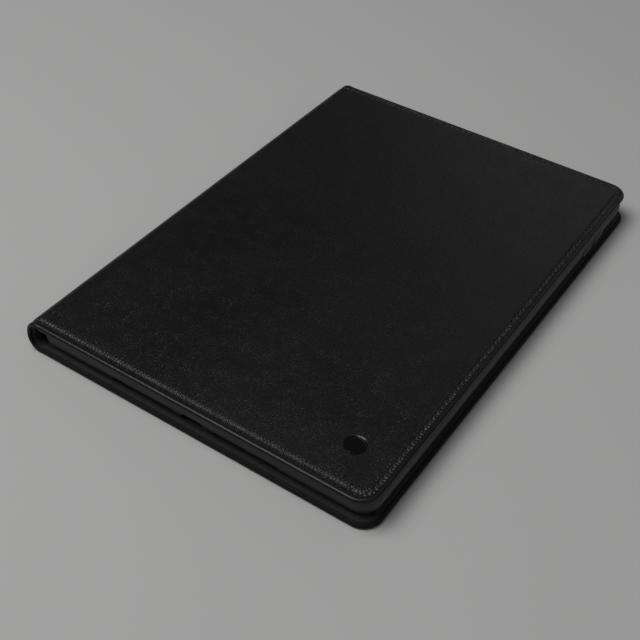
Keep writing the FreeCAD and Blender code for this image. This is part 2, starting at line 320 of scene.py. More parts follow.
def cut_grid(mesh, panel, low, high, windows):
    """Cuts for the bend at the spine, for the field, and round the windows kept for a hole or mark."""
    bend_end = BEND_END if high is None else high
    step = 2 * panel.t_step
    bends = [k * step for k in range(math.ceil(low / step), int(bend_end / step) + 1)]
    for place in bends:
        if low + 0.1 < place < bend_end - 0.1:
            cut_across(mesh, place, "t")
    t_gaps = [(panel.snap_t(t - size), panel.snap_t(t + size)) for t, _, size in windows]
    y_gaps = [(panel.snap_y(y - size), panel.snap_y(y + size)) for _, y, size in windows]
    t_spacing, y_spacing = FIELD_STEPS * panel.t_step, FIELD_STEPS * panel.y_step
    if high is None:
        for place in grid_lines(t_spacing, panel.straight_t, t_spacing, t_gaps):
            cut_across(mesh, place, "t")
    for place in grid_lines(-panel.straight_y, panel.straight_y, y_spacing, y_gaps):
        cut_across(mesh, place, "y")
    return list(zip(t_gaps, y_gaps))


def open_window(mesh, window, level=None):
    """Takes out the flat faces that fill a window and returns the loops of edges they leave."""
    (t_low, t_high), (y_low, y_high) = window
    area = (t_high - t_low) * (y_high - y_low)
    loops = []
    for face in list(mesh.faces):
        middle = face.calc_center_median()
        inside = t_low < middle.x < t_high and y_low < middle.y < y_high
        if not inside or abs(face.calc_area() / area - 1) > 0.02:
            continue
        if level is not None and abs(-middle.z - level) > 0.2:
            continue
        loops.append((-middle.z, list(face.edges)))
        bmesh.ops.delete(mesh, geom=[face], context="FACES_ONLY")
    return sorted(loops, key=lambda item: item[0])


def circle_at(mesh, t, y, h, radius):
    """Edges of a flat circle at a place of the pattern."""
    made = bmesh.ops.create_circle(mesh, cap_ends=False, segments=64, radius=radius,
                                   matrix=Matrix.Translation((t, y, -h)))
    return list({edge for vert in made["verts"] for edge in vert.link_edges})


def cut_round_hole(mesh, window, t, y, radius):
    """Round hole through both faces of a sheet, its rims eased."""
    rims = []
    for number, (level, square) in enumerate(open_window(mesh, window)):
        inward = EASE if number == 0 else -EASE
        outer = circle_at(mesh, t, y, level, radius + EASE)
        bmesh.ops.bridge_loops(mesh, edges=square + outer)
        inner = circle_at(mesh, t, y, level + inward, radius)
        bmesh.ops.bridge_loops(mesh, edges=outer + inner)
        rims += inner
    bmesh.ops.bridge_loops(mesh, edges=rims)


def press_mark(mesh, window, t, y, radius):
    """Plain round mark pressed into the face: a shallow disc with a deeper ring round it."""
    level, square = open_window(mesh, window, 0.0)[0]
    rim = circle_at(mesh, t, y, level, radius + 1.0)
    bmesh.ops.bridge_loops(mesh, edges=square + rim)
    disc = upward(bmesh.ops.contextual_create(mesh, geom=rim)["faces"][0], True)
    pressed = [(0.6, -0.02), (0.9, 0.03), (1.15, 0.26), (1.35, 0.34), (1.75, 0.34), (1.95, 0.27),
               (2.3, 0.22), (3.2, 0.2)]
    add_rings(mesh, disc, pressed, (0.0, level))


def press_seam(mesh, panel):
    """Pulls the leather down along the seam, gathers it in small pleats and ripples the rim."""
    for vert in mesh.verts:
        t, y = vert.co.x, vert.co.y
        inset = panel.inset_at(t, y)
        if inset > 8.3 or -vert.co.z > RIM_DEPTH:
            continue
        run = panel.seam_run(t, y)
        uneven = noise.noise(Vector((run * 0.23, 3.0, 0.0)))
        coarse = noise.noise(Vector((run * 0.06, 8.0, inset * 0.3)))
        slanted = run + 0.22 * (inset - SEAM_INSET) + 0.22 * uneven
        pillow = abs(math.sin(math.pi * slanted / PLEAT_PITCH))
        pull = math.cos(2 * math.pi * run / STITCH_PITCH)
        gathered = smooth((inset - 2.2) / 0.5) * smooth((5.9 - inset) / 0.9)
        depth = gathered * (0.34 + 0.2 * uneven) * (0.6 - pillow)
        depth += bump_at(inset, SEAM_INSET, 0.6) * (0.06 + 0.12 * pull)
        depth += bump_at(inset, 1.3, 1.2) * (0.025 * pull + 0.07 * coarse)
        vert.co.z -= depth


def swell_field(mesh, panel):
    """Lets the padded field rise a little and unevenly."""
    for vert in mesh.verts:
        inset = panel.inset_at(vert.co.x, vert.co.y)
        if abs(vert.co.z) > 0.05 or vert.co.x < BEND_END or inset < 8:
            continue
        place = Vector((vert.co.x * 0.021, vert.co.y * 0.021, 3.0))
        vert.co.z -= 0.05 * (0.6 + noise.noise(place)) * smooth((inset - 8) / 14)


def press_fold(mesh, panel, fold, deepest):
    """Soft groove across the outer face where the panel folds into a stand."""
    for vert in mesh.verts:
        if -vert.co.z < deepest:
            vert.co.z -= 0.45 * bump_at(vert.co.x, fold, 1.3)


def leather_pattern(panel, low, high):
    """Closed sheet of leather with its turned hem, still flat, between two places along t."""
    mesh = bmesh.new()
    face = outline_face(mesh, panel, 0.0, RIM_DEPTH, 2 * HALF_SPINE_RUN)
    both_sides(mesh, face, RIM_DEPTH, OUTER_HEM, under_hem(panel.thick))
    cut_across(mesh, low, "t", -1)
    if high is not None:
        cut_across(mesh, high, "t", 1)
    windows = cut_grid(mesh, panel, low, high, panel.windows if high is None else [])
    if windows and panel.is_cover:
        press_mark(mesh, windows[0], *panel.windows[0][:2], MARK_RADIUS)
    elif windows:
        cut_round_hole(mesh, windows[0], *panel.windows[0][:2], CAMERA_RADIUS)
    if high is None and not panel.is_cover:
        first = panel.snap_t(FOLD_T) - 6 * panel.t_step
        for number in range(13):
            cut_across(mesh, first + number * panel.t_step, "t")
        press_fold(mesh, panel, FOLD_T, 1.2)
    press_seam(mesh, panel)
    return mesh


def lining_pattern(panel, low, high, thick):
    """Closed sheet of lining, pulled down at the seam, that fills the recess inside the hem."""
    mesh = bmesh.new()
    level = panel.thick - thick / 2
    face = outline_face(mesh, panel, LINING_INSET + 0.03, level, 2 * HALF_SPINE_RUN)
    top = [(0.06, panel.thick - thick), (3.0, panel.thick - thick)]
    dips = ((0.05, 0.12), (0.2, 0.02), (0.8, 0.0), (1.6, 0.02), (1.95, 0.1), (2.3, 0.16),
            (2.65, 0.1), (3.1, 0.03), (4.0, 0.0), (5.2, -0.02))
    under = [(inset, panel.thick - dip) for inset, dip in dips]
    both_sides(mesh, face, level, top, under)
    cut_across(mesh, low, "t", -1)
    if high is not None:
        cut_across(mesh, high, "t", 1)
    windows = cut_grid(mesh, panel, low, high, [] if high is not None or panel.is_cover else panel.windows)
    if windows:
        cut_round_hole(mesh, windows[0], *panel.windows[0][:2], CAMERA_RADIUS + 0.2)
    for vert in mesh.verts:
        if -vert.co.z > panel.thick - 0.3:
            inset = panel.inset_at(vert.co.x, vert.co.y)
            pull = math.cos(2 * math.pi * panel.seam_run(vert.co.x, vert.co.y) / STITCH_PITCH)
            vert.co.z += bump_at(inset, SEAM_INSET, 0.7) * 0.08 * (1 + pull)
    return mesh


def face_outwards(mesh):
    """Gives every face of a closed mesh the same side out, and makes that the outer side."""
    bmesh.ops.recalc_face_normals(mesh, faces=mesh.faces[:])
    if mesh.calc_volume(signed=True) < 0:
        bmesh.ops.reverse_faces(mesh, faces=mesh.faces[:])


def put_on_case(mesh, panel):
    """Wraps a flat pattern round the case and turns millimetres into metres."""
    for vert in mesh.verts:
        vert.co = panel.wrap(vert.co.x, vert.co.y, -vert.co.z) * MM
    face_outwards(mesh)


def mark_hem(mesh, panel):
    """Stores how far each point belongs to the cover's rim, the back's dull rim and the pressed mark."""
    rim = mesh.verts.layers.float.new("rim")
    dull = mesh.verts.layers.float.new("dull")
    pressed = mesh.verts.layers.float.new("pressed")
    for vert in mesh.verts:
        inset = panel.inset_at(vert.co.x, vert.co.y)
        if panel.is_cover:
            vert[rim] = smooth((2.3 - inset) / 1.2)
        else:
            vert[dull] = smooth((4.5 - inset) / 1.2)
        if panel.is_cover and vert.co.x > BEND_END:
            away = math.hypot(vert.co.x - panel.windows[0][0], vert.co.y - panel.windows[0][1])
            vert[pressed] = 1.0 if away < MARK_RADIUS + 0.05 and -vert.co.z < 0.6 else 0.0


def as_object(mesh, name, material):
    """Smooth-shaded piece with its sharp edges kept."""
    data = bpy.data.meshes.new(name)
    for face in mesh.faces:
        face.smooth = True
    mesh.to_mesh(data)
    mesh.free()
    piece = bpy.data.objects.new(name, data)
    bpy.context.scene.collection.objects.link(piece)
    data.materials.append(material)
    data.set_sharp_from_angle(angle=SHARP_ANGLE)
    return piece


# ---------------------------------------------------------------- stitches


def stitch_shape():
    """One stitch along X: a soft thread that rises from one hole and dips into the next."""
    mesh = bmesh.new()
    lengths = (-1.5, -1.32, -0.9, 0.0, 0.9, 1.32, 1.5)
    rises = (-0.42, -0.16, 0.02, 0.06, 0.02, -0.16, -0.42)
    turned = Matrix.Rotation(math.pi / 2, 4, "Y")
    made = bmesh.ops.create_circle(mesh, cap_ends=True, segments=6, radius=0.2,
                                   matrix=Matrix.Translation((lengths[0], 0, rises[0])) @ turned)
    face = made["verts"][0].link_faces[0]
    for (before, low), (after, high) in zip(zip(lengths, rises), zip(lengths[1:], rises[1:])):
        grown = bmesh.ops.extrude_discrete_faces(mesh, faces=[face])["faces"][0]
        bmesh.ops.translate(mesh, verts=grown.verts[:], vec=(after - before, 0, high - low))
        face = grown
    bmesh.ops.remove_doubles(mesh, verts=mesh.verts[:], dist=1e-5)
    bmesh.ops.holes_fill(mesh, edges=[edge for edge in mesh.edges if edge.is_boundary], sides=0)
    for vert in mesh.verts:
        fullness = 1 + 0.45 * smooth(1 - abs(vert.co.x) / 1.6)
        vert.co.y *= fullness
    bmesh.ops.recalc_face_normals(mesh, faces=mesh.faces[:])
    data = bpy.data.meshes.new("stitch_shape")
    mesh.to_mesh(data)
    mesh.free()
    return data


def stitch_pattern(panel, low, high, shape):
    """Both rows of stitches of one seam, outside and inside, that begin between two places along t."""
    mesh = bmesh.new()
    rng = random.Random(5)
    total = panel.seam_length
    centres = []
    number = math.ceil(low / STITCH_PITCH - 0.5)
    while (number + 0.5) * STITCH_PITCH < total - low:
        centre = (number + 0.5) * STITCH_PITCH
        if high is None or centre < high or centre > total - high:
            centres.append(centre)
        number += 1
    for centre in centres:
        t, y, heading = panel.seam_point(centre)
        for depth, side in ((0.45, 1), (panel.thick - 0.02, -1)):
            before = len(mesh.verts)
            mesh.from_mesh(shape)
            mesh.verts.ensure_lookup_table()
            slant = side * math.radians(9 + rng.uniform(-3, 3))
            place = (Matrix.Translation((t, y, -depth)) @ Matrix.Rotation(heading + slant, 4, "Z")
                     @ Matrix.Scale(side, 4, (0, 0, 1)))
            for vert in mesh.verts[before:]:
                vert.co = place @ vert.co
    return mesh


# ---------------------------------------------------------------- materials


def new_material(name):
    """Material with its nodes, its links and its shader."""
    material = bpy.data.materials.new(name)
    material.use_nodes = True
    nodes, links = material.node_tree.nodes, material.node_tree.links
    return material, nodes, links, nodes["Principled BSDF"]


def set_value(node, **values):
    for key, value in values.items():
        node.inputs[key.replace("_", " ")].default_value = value


def grain_group():
    """Pebbled leather grain: soft cells with creases between them, and finer pores."""
    group = bpy.data.node_groups.new("leather_grain", "ShaderNodeTree")
    face = group.interface
    face.new_socket("Vector", in_out="INPUT", socket_type="NodeSocketVector")
    for name, value in (("Cell Size", 0.9), ("Stretch", 1.5), ("Pore Share", 0.35)):
        face.new_socket(name, in_out="INPUT", socket_type="NodeSocketFloat").default_value = value
    face.new_socket("Height", in_out="OUTPUT", socket_type="NodeSocketFloat")
    face.new_socket("Crease", in_out="OUTPUT", socket_type="NodeSocketFloat")
    nodes, links = group.nodes, group.links
    start = nodes.new("NodeGroupInput")
    end = nodes.new("NodeGroupOutput")

    density = nodes.new("ShaderNodeMath")
    density.operation = "DIVIDE"
    density.inputs[0].default_value = 1 / MM
    links.new(start.outputs["Cell Size"], density.inputs[1])

    squeeze = nodes.new("ShaderNodeCombineXYZ")
    inverse = nodes.new("ShaderNodeMath")
    inverse.operation = "DIVIDE"
    inverse.inputs[0].default_value = 1
    links.new(start.outputs["Stretch"], inverse.inputs[1])
    links.new(inverse.outputs[0], squeeze.inputs[0])
    squeeze.inputs[1].default_value = 1
    squeeze.inputs[2].default_value = 1
    stretched = nodes.new("ShaderNodeVectorMath")
    stretched.operation = "MULTIPLY"
    links.new(start.outputs["Vector"], stretched.inputs[0])
    links.new(squeeze.outputs[0], stretched.inputs[1])

    drift = nodes.new("ShaderNodeTexNoise")
    drift.inputs["Scale"].default_value = 420
    drift.inputs["Detail"].default_value = 2
    links.new(start.outputs["Vector"], drift.inputs["Vector"])
    shift = nodes.new("ShaderNodeVectorMath")
    shift.operation = "MULTIPLY_ADD"
    links.new(drift.outputs["Color"], shift.inputs[0])
    shift.inputs[1].default_value = (0.0009, 0.0009, 0.0009)
    links.new(stretched.outputs[0], shift.inputs[2])

    cells = nodes.new("ShaderNodeTexVoronoi")
    cells.feature = "DISTANCE_TO_EDGE"
    links.new(shift.outputs[0], cells.inputs["Vector"])
    links.new(density.outputs[0], cells.inputs["Scale"])
    pillow = nodes.new("ShaderNodeMapRange")
    pillow.interpolation_type = "SMOOTHSTEP"
    set_value(pillow, From_Min=0.0, From_Max=0.34, To_Min=0.0, To_Max=1.0)
    links.new(cells.outputs["Distance"], pillow.inputs["Value"])
    pores = nodes.new("ShaderNodeTexNoise")
    pores.inputs["Scale"].default_value = 3800
    pores.inputs["Detail"].default_value = 3
    pores.inputs["Roughness"].default_value = 0.6
    links.new(stretched.outputs[0], pores.inputs["Vector"])
    height = nodes.new("ShaderNodeMix")
    links.new(start.outputs["Pore Share"], height.inputs["Factor"])
    links.new(pillow.outputs[0], height.inputs["A"])
    links.new(pores.outputs["Fac"], height.inputs["B"])
    links.new(height.outputs["Result"], end.inputs["Height"])
    # Crease mask, 1 between the cells; the leather uses it to paint shade into its creases.
    crease_mask = nodes.new("ShaderNodeMath")
    crease_mask.operation = "SUBTRACT"
    crease_mask.inputs[0].default_value = 1
    links.new(pillow.outputs[0], crease_mask.inputs[1])
    links.new(crease_mask.outputs[0], end.inputs["Crease"])
    return group


def patch_group():
    """Broad, soft unevenness of a finish, as dust and handling leave it."""
    group = bpy.data.node_groups.new("handled_patches", "ShaderNodeTree")
    face = group.interface
    face.new_socket("Vector", in_out="INPUT", socket_type="NodeSocketVector")
    face.new_socket("Size", in_out="INPUT", socket_type="NodeSocketFloat").default_value = 40
    face.new_socket("Low", in_out="INPUT", socket_type="NodeSocketFloat").default_value = 0
    face.new_socket("High", in_out="INPUT", socket_type="NodeSocketFloat").default_value = 1
    face.new_socket("Value", in_out="OUTPUT", socket_type="NodeSocketFloat")
    nodes, links = group.nodes, group.links
    start = nodes.new("NodeGroupInput")
    end = nodes.new("NodeGroupOutput")
    scale = nodes.new("ShaderNodeMath")
    scale.operation = "DIVIDE"
    scale.inputs[0].default_value = 1 / MM
    links.new(start.outputs["Size"], scale.inputs[1])
    clouds = nodes.new("ShaderNodeTexNoise")
    clouds.inputs["Detail"].default_value = 4
    clouds.inputs["Roughness"].default_value = 0.55
    links.new(start.outputs["Vector"], clouds.inputs["Vector"])
    links.new(scale.outputs[0], clouds.inputs["Scale"])
    spread = nodes.new("ShaderNodeMapRange")
    spread.interpolation_type = "SMOOTHSTEP"
    set_value(spread, From_Min=0.3, From_Max=0.7)
    links.new(clouds.outputs["Fac"], spread.inputs["Value"])
    links.new(start.outputs["Low"], spread.inputs["To Min"])
    links.new(start.outputs["High"], spread.inputs["To Max"])
    links.new(spread.outputs[0], end.inputs["Value"])
    return group


GRAIN = grain_group()
PATCHES = patch_group()


def use_group(nodes, group, **values):
    """Places a node group in a material with the material's own values."""
    node = nodes.new("ShaderNodeGroup")
    node.node_tree = group
    set_value(node, **values)
    return node


def mix_tone(nodes, links, shader, mask, first, second):
    """Base colour that changes between two tones with a mask."""
    tone = nodes.new("ShaderNodeMix")
    tone.data_type = "RGBA"
    tone.inputs["A"].default_value = (*first, 1)
    tone.inputs["B"].default_value = (*second, 1)
    links.new(mask, tone.inputs["Factor"])
    links.new(tone.outputs["Result"], shader.inputs["Base Color"])


def add_bump(nodes, links, shader, height, distance, strength):
    bump = nodes.new("ShaderNodeBump")
    set_value(bump, Strength=strength, Distance=distance)
    links.new(height, bump.inputs["Height"])
    links.new(bump.outputs["Normal"], shader.inputs["Normal"])


def leather_material():
    """Black grained leather with painted shade in the grain's creases and a darker pressed mark, dull at the back
    panel's rim and smooth in the pressed mark.
    """
    material, nodes, links, shader = new_material("black_grained_leather")
    place = nodes.new("ShaderNodeTexCoord")
    grain = use_group(nodes, GRAIN, Cell_Size=1.0, Stretch=1.1, Pore_Share=0.3)
    links.new(place.outputs["Object"], grain.inputs["Vector"])
    patches = use_group(nodes, PATCHES, Size=45.0, Low=0.0, High=1.0)
    links.new(place.outputs["Object"], patches.inputs["Vector"])
    rim = nodes.new("ShaderNodeAttribute")
    rim.attribute_name = "rim"

    pressed = nodes.new("ShaderNodeAttribute")
    pressed.attribute_name = "pressed"
    # Mask for the darker base colour: painted shade in the grain's creases, and the pressed mark's own darker
    # tone.
    crease_shade_and_mark_tone = nodes.new("ShaderNodeMath")
    crease_shade_and_mark_tone.operation = "MAXIMUM"
    links.new(grain.outputs["Crease"], crease_shade_and_mark_tone.inputs[0])
    links.new(pressed.outputs["Fac"], crease_shade_and_mark_tone.inputs[1])
    mix_tone(nodes, links, shader, crease_shade_and_mark_tone.outputs[0], (0.0043, 0.0043, 0.0045), (0.002, 0.002, 0.0022))

    gloss = nodes.new("ShaderNodeMapRange")
    set_value(gloss, To_Min=0.33, To_Max=0.40)
    links.new(patches.outputs["Value"], gloss.inputs["Value"])
    polish = nodes.new("ShaderNodeMix")
    links.new(rim.outputs["Fac"], polish.inputs["Factor"])
    links.new(gloss.outputs[0], polish.inputs["A"])
    polish.inputs["B"].default_value = 0.42
    dull = nodes.new("ShaderNodeAttribute")
    dull.attribute_name = "dull"
    roughness = nodes.new("ShaderNodeMix")
    links.new(dull.outputs["Fac"], roughness.inputs["Factor"])
    links.new(polish.outputs["Result"], roughness.inputs["A"])
    roughness.inputs["B"].default_value = 0.85
    stamped = nodes.new("ShaderNodeMix")
    links.new(pressed.outputs["Fac"], stamped.inputs["Factor"])
    links.new(roughness.outputs["Result"], stamped.inputs["A"])
    stamped.inputs["B"].default_value = 0.16
    links.new(stamped.outputs["Result"], shader.inputs["Roughness"])
    shader.inputs["Specular IOR Level"].default_value = 0.3

    flattened = nodes.new("ShaderNodeMath")
    flattened.operation = "MAXIMUM"
    links.new(rim.outputs["Fac"], flattened.inputs[0])
    links.new(pressed.outputs["Fac"], flattened.inputs[1])
    worn = nodes.new("ShaderNodeMath")
    worn.operation = "MULTIPLY_ADD"
    links.new(flattened.outputs[0], worn.inputs[0])
    worn.inputs[1].default_value = -0.75
    worn.inputs[2].default_value = 1.0
    uneven = use_group(nodes, PATCHES, Size=9.0, Low=0.45, High=1.0)
    links.new(place.outputs["Object"], uneven.inputs["Vector"])
    share = nodes.new("ShaderNodeMath")
    share.operation = "MULTIPLY"
    links.new(worn.outputs[0], share.inputs[0])
    links.new(uneven.outputs["Value"], share.inputs[1])
    relief = nodes.new("ShaderNodeMath")
    relief.operation = "MULTIPLY"
    links.new(grain.outputs["Height"], relief.inputs[0])
    links.new(share.outputs[0], relief.inputs[1])
    add_bump(nodes, links, shader, relief.outputs[0], 0.00013, 0.8)
    return material


def cloth_material(name, colour, pile, roughness=0.85):
    """Short-pile microfibre: fine noise in colour and height with a soft sheen."""
    material, nodes, links, shader = new_material(name)
    place = nodes.new("ShaderNodeTexCoord")
    fibres = nodes.new("ShaderNodeTexNoise")
    set_value(fibres, Scale=1 / (pile * MM), Detail=3.0, Roughness=0.65)
    links.new(place.outputs["Object"], fibres.inputs["Vector"])
    patches = use_group(nodes, PATCHES, Size=30.0, Low=0.0, High=1.0)
    links.new(place.outputs["Object"], patches.inputs["Vector"])
    both = nodes.new("ShaderNodeMath")
    both.operation = "MULTIPLY_ADD"
    links.new(patches.outputs["Value"], both.inputs[0])
    both.inputs[1].default_value = 0.35
    links.new(fibres.outputs["Fac"], both.inputs[2])
    darker, paler = ([share * channel for channel in colour] for share in (0.65, 1.5))
    mix_tone(nodes, links, shader, both.outputs[0], darker, paler)
    set_value(shader, Roughness=roughness, Sheen_Weight=0.25, Sheen_Roughness=0.5)
    add_bump(nodes, links, shader, fibres.outputs["Fac"], 0.00012, 0.6)
    return material


def thread_material():
    """Twisted waxed thread."""
    material, nodes, links, shader = new_material("waxed_thread")
    place = nodes.new("ShaderNodeTexCoord")
    ply = nodes.new("ShaderNodeTexWave")
    ply.bands_direction = "DIAGONAL"
    set_value(ply, Scale=900.0, Distortion=0.6)
    links.new(place.outputs["Object"], ply.inputs["Vector"])
    mix_tone(nodes, links, shader, ply.outputs["Fac"], (0.009, 0.009, 0.0095), (0.022, 0.022, 0.023))
    set_value(shader, Roughness=0.42)
    add_bump(nodes, links, shader, ply.outputs["Fac"], 0.00006, 0.6)
    return material


def tray_material():
    """Smooth matt TPU with a fine moulded texture and faint handling marks."""
    material, nodes, links, shader = new_material("matt_tray_plastic")
    place = nodes.new("ShaderNodeTexCoord")
    speckle = nodes.new("ShaderNodeTexNoise")
    set_value(speckle, Scale=5200.0, Detail=2.0)
    links.new(place.outputs["Object"], speckle.inputs["Vector"])
    patches = use_group(nodes, PATCHES, Size=24.0, Low=0.44, High=0.56)
    links.new(place.outputs["Object"], patches.inputs["Vector"])
    links.new(patches.outputs["Value"], shader.inputs["Roughness"])
    mix_tone(nodes, links, shader, speckle.outputs["Fac"], (0.013, 0.013, 0.0137), (0.018, 0.018, 0.0187))
    add_bump(nodes, links, shader, speckle.outputs["Fac"], 0.00003, 0.35)
    return material


def board_material():
    """Pressed fibre board."""
    material, nodes, links, shader = new_material("fibre_board")
    place = nodes.new("ShaderNodeTexCoord")
    fibre = nodes.new("ShaderNodeTexNoise")
    set_value(fibre, Scale=1400.0, Detail=5.0, Roughness=0.7)
    links.new(place.outputs["Object"], fibre.inputs["Vector"])
    mix_tone(nodes, links, shader, fibre.outputs["Fac"], (0.20, 0.175, 0.14), (0.36, 0.33, 0.27))
    shader.inputs["Roughness"].default_value = 0.9
    add_bump(nodes, links, shader, fibre.outputs["Fac"], 0.0001, 0.5)
    return material


def glue_material():
    """Cured glue, smoother where it flowed."""
    material, nodes, links, shader = new_material("cured_glue")
    place = nodes.new("ShaderNodeTexCoord")
    flow = use_group(nodes, PATCHES, Size=6.0, Low=0.3, High=0.5)
    links.new(place.outputs["Object"], flow.inputs["Vector"])
    links.new(flow.outputs["Value"], shader.inputs["Roughness"])
    mix_tone(nodes, links, shader, flow.outputs["Value"], (0.05, 0.048, 0.044), (0.09, 0.086, 0.078))
    return material


def magnet_material():
    """Nickel plate with a light haze."""
    material, nodes, links, shader = new_material("nickel_plate")
    place = nodes.new("ShaderNodeTexCoord")
    haze = use_group(nodes, PATCHES, Size=2.0, Low=0.22, High=0.36)
    links.new(place.outputs["Object"], haze.inputs["Vector"])
    links.new(haze.outputs["Value"], shader.inputs["Roughness"])
    set_value(shader, Metallic=1.0, Base_Color=(0.55, 0.54, 0.52, 1))
    return material


LEATHER = leather_material()
LINING = cloth_material("dark_microfibre", (0.0090, 0.0090, 0.0097), 0.22)
FOAM = cloth_material("soft_foam_sheet", (0.05, 0.05, 0.055), 0.6, 0.95)
THREAD = thread_material()
TRAY = tray_material()
BOARD = board_material()
GLUE = glue_material()
MAGNET = magnet_material()

# ---------------------------------------------------------------- panels and spine

ROLL_MIDDLE = -ROLL_RUN / 2


def bend_panel(piece, panel):
    """Bakes the piece's placement into its mesh."""
    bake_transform(piece)


def bend_spine(piece, panel):
    """Bakes the piece's placement into its mesh."""
    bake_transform(piece)


def place_sheet(mesh, panel, name, finish, bend, replaced):
    """Wraps a pattern on the case as a piece, and hides the parts that it replaces."""
    put_on_case(mesh, panel)
    sheet = as_object(mesh, name, finish)
    bend(sheet, panel)
    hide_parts(*replaced)


def make_panel(panel, side, strip_side, thread_shape, lining_thick):
    """One panel with its half roll of spine, and its half of the spine's middle strip."""
    spans = ((ROLL_MIDDLE, None, bend_panel), (-HALF_SPINE_RUN, ROLL_MIDDLE, bend_spine))
    for low, high, bend in spans:
        on_panel = high is None
        part = side if on_panel else "spine_" + strip_side
        roll = "upper" if panel.is_cover else "lower"
        node = "front" if panel.is_cover else "back"
        for kind in ("leather", "lining", "stitching"):
            if on_panel:
                replaced = [node + "_" + kind, "spine_" + kind + "_" + roll]
            else:
                replaced = ["spine_" + kind + "_middle"] if panel.is_cover else []
            if kind == "leather":
                mesh = leather_pattern(panel, low, high)
                if on_panel:
                    swell_field(mesh, panel)
                mark_hem(mesh, panel)
                place_sheet(mesh, panel, part + "_leather", LEATHER, bend, replaced)
            elif kind == "lining":
                mesh = lining_pattern(panel, low, high, lining_thick)
                place_sheet(mesh, panel, part + "_lining", LINING, bend, replaced)
            else:
                mesh = stitch_pattern(panel, low, high, thread_shape)
                place_sheet(mesh, panel, part + "_stitches", THREAD, bend, replaced)


# ---------------------------------------------------------------- tray

TRAY_CORNER = 9.2
TRAY_WALL = 1.8
TRAY_FLOOR = 1.2
FOOT_INSET = 3.1
FOOT_HEIGHT = 6.4
SHOULDER_RADIUS = 2.3
HALF_TABLET_THICK = 3.75

# Notches in the port wall: width, height, corner radius and place along the wall.
PORT_NOTCH = (12.0, 5.0, 2.0, 0.0)
SPEAKER_NOTCHES = ((34.0, 3.6, 1.7, -27.5), (34.0, 3.6, 1.7, 27.5))
JACK_RADIUS = 3.2
JACK_FROM_SPINE = 19.0
MICROPHONE_RADIUS = 1.2
LENS_RADIUS = 6.0
LENS_FROM_SIDES = 15.0
BUTTON_WINDOW = (11.4, 3.6)
BUTTON_CORNER = 1.75
CUT_THROUGH = 7.0

def slab_face(mesh, low, high, corner, z):
    """Flat rounded rectangle between two corners, facing up."""
    outline = ((low.x, low.y), (high.x, low.y), (high.x, high.y), (low.x, high.y))
    corners = [mesh.verts.new((x, y, z)) for x, y in outline]
    mesh.faces.new(corners)
    bmesh.ops.bevel(mesh, geom=corners, offset=corner, segments=20, profile=0.5, affect="VERTICES",
                    material=-1)
    return upward(max(mesh.faces, key=lambda face: face.calc_area()), True)


def step_levels(mesh, face, section, start):
    """Steps a face in, or out, and up, or down, through (inset, height) points."""
    inset, height = start
    side = 1 if face.normal.z > 0 else -1
    for next_inset, next_height in section:
        bmesh.ops.inset_region(mesh, faces=[face], thickness=next_inset - inset,
                               depth=side * (next_height - height), use_even_offset=True, use_boundary=True)
        inset, height = next_inset, next_height


def tray_shell(low, high, floor_top):
    """The moulded shell: rounded foot, full wall, soft shoulder, and a lip that holds the tablet."""
    mesh = bmesh.new()
    widest = low.z + FOOT_HEIGHT
    face = slab_face(mesh, low, high, TRAY_CORNER, widest)
    shoulder = [(0.02, high.z - SHOULDER_RADIUS - 0.6)]
    for angle in (20, 40, 58, 74, 88):
        turn = math.radians(angle)
        inset = SHOULDER_RADIUS * (1 - math.cos(turn))
        shoulder.append((inset, high.z - SHOULDER_RADIUS + SHOULDER_RADIUS * math.sin(turn)))
    lip = [(2.7, high.z), (3.1, high.z - 0.08), (3.32, high.z - 0.28), (3.4, high.z - 0.55),
           (3.3, high.z - 0.85), (3.0, high.z - 1.0)]
    inside = [(2.2, high.z - 1.05), (TRAY_WALL, high.z - 1.3), (TRAY_WALL, floor_top + 1.5),
              (1.9, floor_top + 0.9), (2.25, floor_top + 0.4), (2.75, floor_top + 0.1), (3.3, floor_top)]
    step_levels(mesh, face, shoulder + lip + inside, (0.0, widest))
    rim = [edge for edge in mesh.edges if edge.is_boundary]
    under = upward(bmesh.ops.contextual_create(mesh, geom=rim)["faces"][0], False)
    foot = []
    for angle in (10, 20, 30, 40, 50, 60, 69, 77, 84, 90):
        turn = math.radians(angle)
        foot.append((FOOT_INSET * (1 - math.cos(turn)), widest - FOOT_HEIGHT * math.sin(turn)))
    step_levels(mesh, under, foot + [(FOOT_INSET + 0.5, low.z)], (0.0, widest))
    return mesh


def bar_cutter(name, middle, size, radius, axis):
    """Bar with rounded long edges, along X, Y or Z, that cuts a hole."""
    mesh = bmesh.new()
    bmesh.ops.create_cube(mesh, size=1.0, matrix=Matrix.Translation(middle) @ Matrix.Diagonal((*size, 1)))
    edges = [edge for edge in mesh.edges
             if abs((edge.verts[0].co - edge.verts[1].co).normalized()[axis]) > 0.9]
    bmesh.ops.bevel(mesh, geom=edges, offset=radius, segments=10, profile=0.5, affect="EDGES", material=-1)
    data = bpy.data.meshes.new(name)
    mesh.to_mesh(data)
    mesh.free()
    cutter = bpy.data.objects.new(name, data)
    bpy.context.scene.collection.objects.link(cutter)
    return cutter


def finish_modifiers(piece, cutters):
    """Turns a piece's modifiers into its mesh and removes the cutters."""
    bpy.context.view_layer.update()
    graph = bpy.context.evaluated_depsgraph_get()
    done = bpy.data.meshes.new_from_object(piece.evaluated_get(graph), depsgraph=graph)
    piece.modifiers.clear()
    piece.data = done
    for cutter in cutters:
        bpy.data.objects.remove(cutter)


PADS = {"volume_up_pad": "volume_up", "volume_down_pad": "volume_down", "power_pad": "power"}


